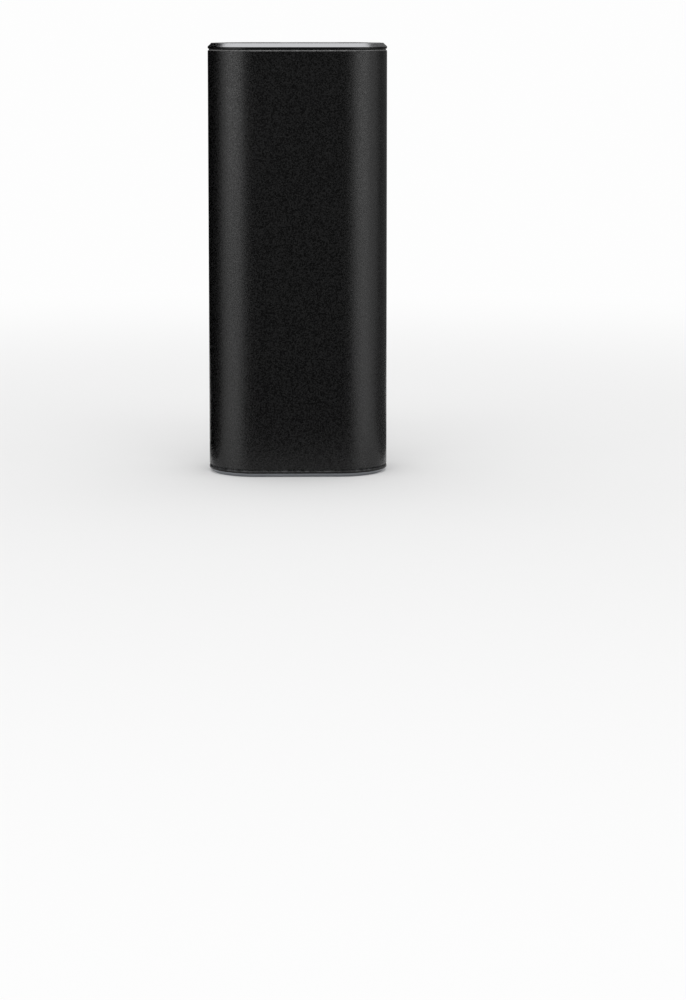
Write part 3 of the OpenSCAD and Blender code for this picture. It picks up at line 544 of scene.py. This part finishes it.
finishes = {
    "tube": anodisedTube(tubeValues),
    "cap": satinCap(capValues),
    "plate": mouldedPlastic("satinPlate", (0.0055, 0.0055, 0.006), roughness=0.36, grainSize=0.2,
                            specular=0.3),
    "button": mouldedPlastic("satinButton", (0.012, 0.012, 0.013), roughness=0.3, grainSize=0.14,
                             coat=0.3),
    "carrier": mouldedPlastic("filledNylon", (0.028, 0.03, 0.034), roughness=0.6, grainSize=0.3,
                              depth=0.03),
    "tape": mouldedPlastic("adhesiveTape", (0.68, 0.66, 0.58), roughness=0.5, grainSize=0.4),
    "paper": mouldedPlastic("pressedPaper", (0.78, 0.76, 0.68), roughness=0.75, grainSize=0.25,
                            depth=0.03),
    "package": mouldedPlastic("chipPackage", (0.014, 0.014, 0.015), roughness=0.5, grainSize=0.1),
    "ceramic": mouldedPlastic("ceramicChip", (0.34, 0.24, 0.13), roughness=0.55, grainSize=0.2),
    "ferrite": mouldedPlastic("pressedFerrite", (0.045, 0.045, 0.048), roughness=0.7, grainSize=0.25,
                              depth=0.03),
    "epoxy": mouldedPlastic("dippedEpoxy", (0.03, 0.012, 0.008), roughness=0.2, grainSize=0.5,
                            coat=0.6),
    "insulatorWhite": mouldedPlastic("insulatorWhite", (0.76, 0.76, 0.74), roughness=0.4),
    "insulatorBlack": mouldedPlastic("insulatorBlack", (0.018, 0.018, 0.02), roughness=0.4),
    "leadRed": mouldedPlastic("leadRed", (0.48, 0.02, 0.015), roughness=0.45, grainSize=0.5),
    "leadBlack": mouldedPlastic("leadBlack", (0.012, 0.012, 0.012), roughness=0.45, grainSize=0.5),
    "leadWhite": mouldedPlastic("leadWhite", (0.74, 0.72, 0.66), roughness=0.45, grainSize=0.5),
    "zinc": workedMetal("zincScrew", (0.62, 0.63, 0.65), roughness=0.3, stretch=(0.1, 1.0, 1.0)),
    "nickel": workedMetal("brightNickel", (0.68, 0.67, 0.64), roughness=0.26, lineSize=0.06,
                          depth=0.001),
    "plated": workedMetal("platedShell", (0.66, 0.65, 0.62), roughness=0.24, stretch=(1, 1, 1),
                          lineSize=0.5, depth=0.001),
    "tinned": workedMetal("tinnedWire", (0.66, 0.66, 0.64), roughness=0.3),
    "gold": workedMetal("goldContact", (0.83, 0.58, 0.22), roughness=0.22),
    "can": workedMetal("drawnCan", (0.7, 0.71, 0.72), roughness=0.26, stretch=(1.0, 0.05, 1.0)),
    "guide": frostedGuide(guideValues),
    "cell": cellSleeve(cellValues),
    "film": heatingFilm(heaterValues),
    "board": solderMask(boardValues),
    "foam": softFoam(foamValues),
    "light": lightChip(lightValues),
}
print("stage 3: finishes made:", len(finishes))

nodeFinish = {
    "tube": ["body_tube"],
    "cap": ["top_cap", "bottom_cap"],
    "plate": ["top_fascia", "bottom_cover"],
    "button": ["power_button"],
    "carrier": ["front_carrier", "rear_carrier"],
    "tape": ["top_fascia_tape", "bottom_cover_tape"],
    "paper": ["cell_insulator_rings"],
    "package": ["board_chips", "switch_body"],
    "ceramic": ["board_small_parts"],
    "ferrite": ["power_choke"],
    "epoxy": ["thermistor_bead"],
    "insulatorWhite": ["output_socket_tongue", "switch_plunger"],
    "insulatorBlack": ["input_socket_tongue"],
    "leadRed": ["positive_lead"],
    "leadBlack": ["negative_lead"],
    "leadWhite": ["front_heater_leads", "rear_heater_leads"],
    "zinc": ["top_cap_screws", "bottom_cap_screws"],
    "nickel": ["cell_positive_ends", "positive_strip", "negative_strip"],
    "plated": ["output_socket_shell", "input_socket_shell"],
    "tinned": ["thermistor_legs"],
    "gold": ["output_socket_contacts", "input_socket_contacts"],
    "can": ["output_capacitor"],
    "guide": ["light_guide"],
    "cell": ["left_cell", "right_cell"],
    "film": ["front_heating_film", "rear_heating_film"],
    "board": ["control_board"],
    "foam": ["cell_foam_dots", "front_pressure_foam", "rear_pressure_foam"],
    "light": ["charge_lights"],
}


def paint(piece, finish):
    if not piece.data.materials:
        piece.data.materials.append(finishes[finish])
    for slot in piece.material_slots:
        slot.material = finishes[finish]


for finish, names in nodeFinish.items():
    for name in names:
        paint(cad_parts[name], finish)
unpainted = set(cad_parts) - {name for names in nodeFinish.values() for name in names}
print("stage 4: nodes painted, left over:", sorted(unpainted))


# Floor: pale near the object, where it keeps the shadow, and running into the background further out
stageValues = {
    "floorSize": 40.0,
    "floorTone": 0.8,
    "fadeFrom": 0.12,       # the distances from the object between which the floor runs out
    "fadeTo": 0.42,
    "backTone": 0.985,
    "fill": 0.98,           # what the background gives the scene as light
}


def seenDirectly(tree):
    path = tree.nodes.new("ShaderNodeLightPath").outputs
    both = maths(tree, "MAXIMUM", path["Is Camera Ray"], path["Is Glossy Ray"])
    return maths(tree, "MAXIMUM", both, path["Is Transmission Ray"])


def makeFloor(v):
    bpy.ops.mesh.primitive_plane_add(size=v["floorSize"], location=(0, 0, cadLow.z))
    floor = bpy.context.object
    floor.name = "floor"
    material = bpy.data.materials.new("paleFloor")
    material.use_nodes = True
    tree = material.node_tree
    tree.nodes.clear()
    place = tree.nodes.new("ShaderNodeTexCoord").outputs["Object"]
    distance = addNode(tree, "ShaderNodeVectorMath", {0: place}, operation="LENGTH").outputs["Value"]
    faded = mapRange(tree, distance, v["fadeFrom"], v["fadeTo"])
    far = maths(tree, "MULTIPLY", faded, seenDirectly(tree))
    plain = addNode(tree, "ShaderNodeBsdfDiffuse", {"Color": grey(v["floorTone"])})
    bright = addNode(tree, "ShaderNodeEmission", {"Color": grey(v["backTone"]), "Strength": 1.0})
    mixed = addNode(tree, "ShaderNodeMixShader", {0: far, 1: plain.outputs[0], 2: bright.outputs[0]})
    output = tree.nodes.new("ShaderNodeOutputMaterial")
    tree.links.new(mixed.outputs[0], output.inputs["Surface"])
    floor.data.materials.append(material)


def makeWorld(v):
    world = bpy.data.worlds.new("studioWorld")
    bpy.context.scene.world = world
    world.use_nodes = True
    tree = world.node_tree
    tree.nodes.clear()
    seen = addNode(tree, "ShaderNodeBackground", {"Color": grey(v["backTone"]), "Strength": 1.0})
    fill = addNode(tree, "ShaderNodeBackground", {"Color": grey(1.0), "Strength": v["fill"]})
    mixed = addNode(tree, "ShaderNodeMixShader", {
        0: seenDirectly(tree), 1: fill.outputs[0], 2: seen.outputs[0],
    })
    output = tree.nodes.new("ShaderNodeOutputWorld")
    tree.links.new(mixed.outputs[0], output.inputs["Surface"])


# Softboxes: where each stands, its size and its radiance; all point at the middle of the object
lampAim = (0, 0, 0.05)
lampValues = {
    "leftWall": {"at": (-0.99, -0.7, 0.1), "size": (0.92, 0.19), "radiance": 4.15},
    "rightWall": {"at": (1.02, -0.66, 0.1), "size": (0.76, 0.19), "radiance": 3.4},
    "frontTop": {"at": (0, -0.96, 1.2), "size": (1.4, 0.5), "radiance": 2.0},
}


def makeLamp(name, v):
    data = bpy.data.lights.new(name, "AREA")
    data.shape = "RECTANGLE"
    data.size, data.size_y = v["size"]
    data.energy = v["radiance"] * math.pi * v["size"][0] * v["size"][1]
    lamp = bpy.data.objects.new(name, data)
    lamp.location = v["at"]
    aim = Vector(lampAim) - Vector(v["at"])
    lamp.rotation_euler = aim.to_track_quat("-Z", "Y").to_euler()
    lamp.visible_camera = False
    bpy.context.scene.collection.objects.link(lamp)


# Cards that only reflections show. Upright ones: a tone, the two ends on the floor and the height at each
uprightCards = {
    "cardBehindCamera": (0.155, (-1.05, -1.3), (1.05, -1.3), (1.2, 1.2)),
    "cardBackLeft": (0.0, (-0.063, -0.005), (-0.105, 1.0), (0.16, 0.26)),
    "cardBackRight": (0.14, (0.064, 0.004), (0.105, 1.0), (0.17, 0.28)),
}
# Flat ones, just over the floor: a tone and the four corners
flatCards = {
    "matFront": (0.115, (-0.035, -0.032), (0.035, -0.032), (0.8, -1.29), (-0.8, -1.29)),
    "matLeft": (0.0, (-0.3, 0.0), (-0.03, 0.0), (-0.03, 0.03), (-0.1, 0.2)),
    "matRight": (0.12, (0.03, 0.004), (0.3, 0.004), (0.12, 0.22), (0.03, 0.05)),
    "sweepLeftNear": (1.2, (-0.24, -0.21), (-0.06, -0.05), (-0.06, -0.02), (-0.27, -0.08)),
    "sweepLeftFar": (0.05, (-0.58, -0.5), (-0.24, -0.21), (-0.27, -0.08), (-0.65, -0.18)),
    "sweepRightNear": (1.6, (0.06, -0.05), (0.24, -0.2), (0.27, -0.07), (0.06, -0.02)),
    "sweepRightFar": (1.1, (0.24, -0.2), (0.58, -0.48), (0.65, -0.17), (0.27, -0.07)),
}
matLift = 0.4 * mm


def makeCard(name, corners, tone):
    mesh = bpy.data.meshes.new(name)
    card = bmesh.new()
    card.faces.new([card.verts.new(corner) for corner in corners])
    card.to_mesh(mesh)
    card.free()
    piece = bpy.data.objects.new(name, mesh)
    bpy.context.scene.collection.objects.link(piece)
    material = bpy.data.materials.new(name)
    material.use_nodes = True
    tree = material.node_tree
    tree.nodes.clear()
    plain = addNode(tree, "ShaderNodeEmission", {"Color": grey(tone), "Strength": 1.0})
    output = tree.nodes.new("ShaderNodeOutputMaterial")
    tree.links.new(plain.outputs[0], output.inputs["Surface"])
    mesh.materials.append(material)
    piece.visible_camera = False
    piece.visible_shadow = False
    piece.visible_diffuse = False


def uprightCorners(start, end, heights):
    (x0, y0), (x1, y1), (h0, h1) = start, end, heights
    return (x0, y0, 0), (x1, y1, 0), (x1, y1, h1), (x0, y0, h0)


makeFloor(stageValues)
makeWorld(stageValues)
for name, values in lampValues.items():
    makeLamp(name, values)
for name, (tone, *ends) in uprightCards.items():
    makeCard(name, uprightCorners(*ends), tone)
for name, (tone, *corners) in flatCards.items():
    makeCard(name, [(x, y, matLift) for x, y in corners], tone)
bpy.context.scene.view_settings.view_transform = "Standard"
print("stage 5: floor, world and lamps in place")
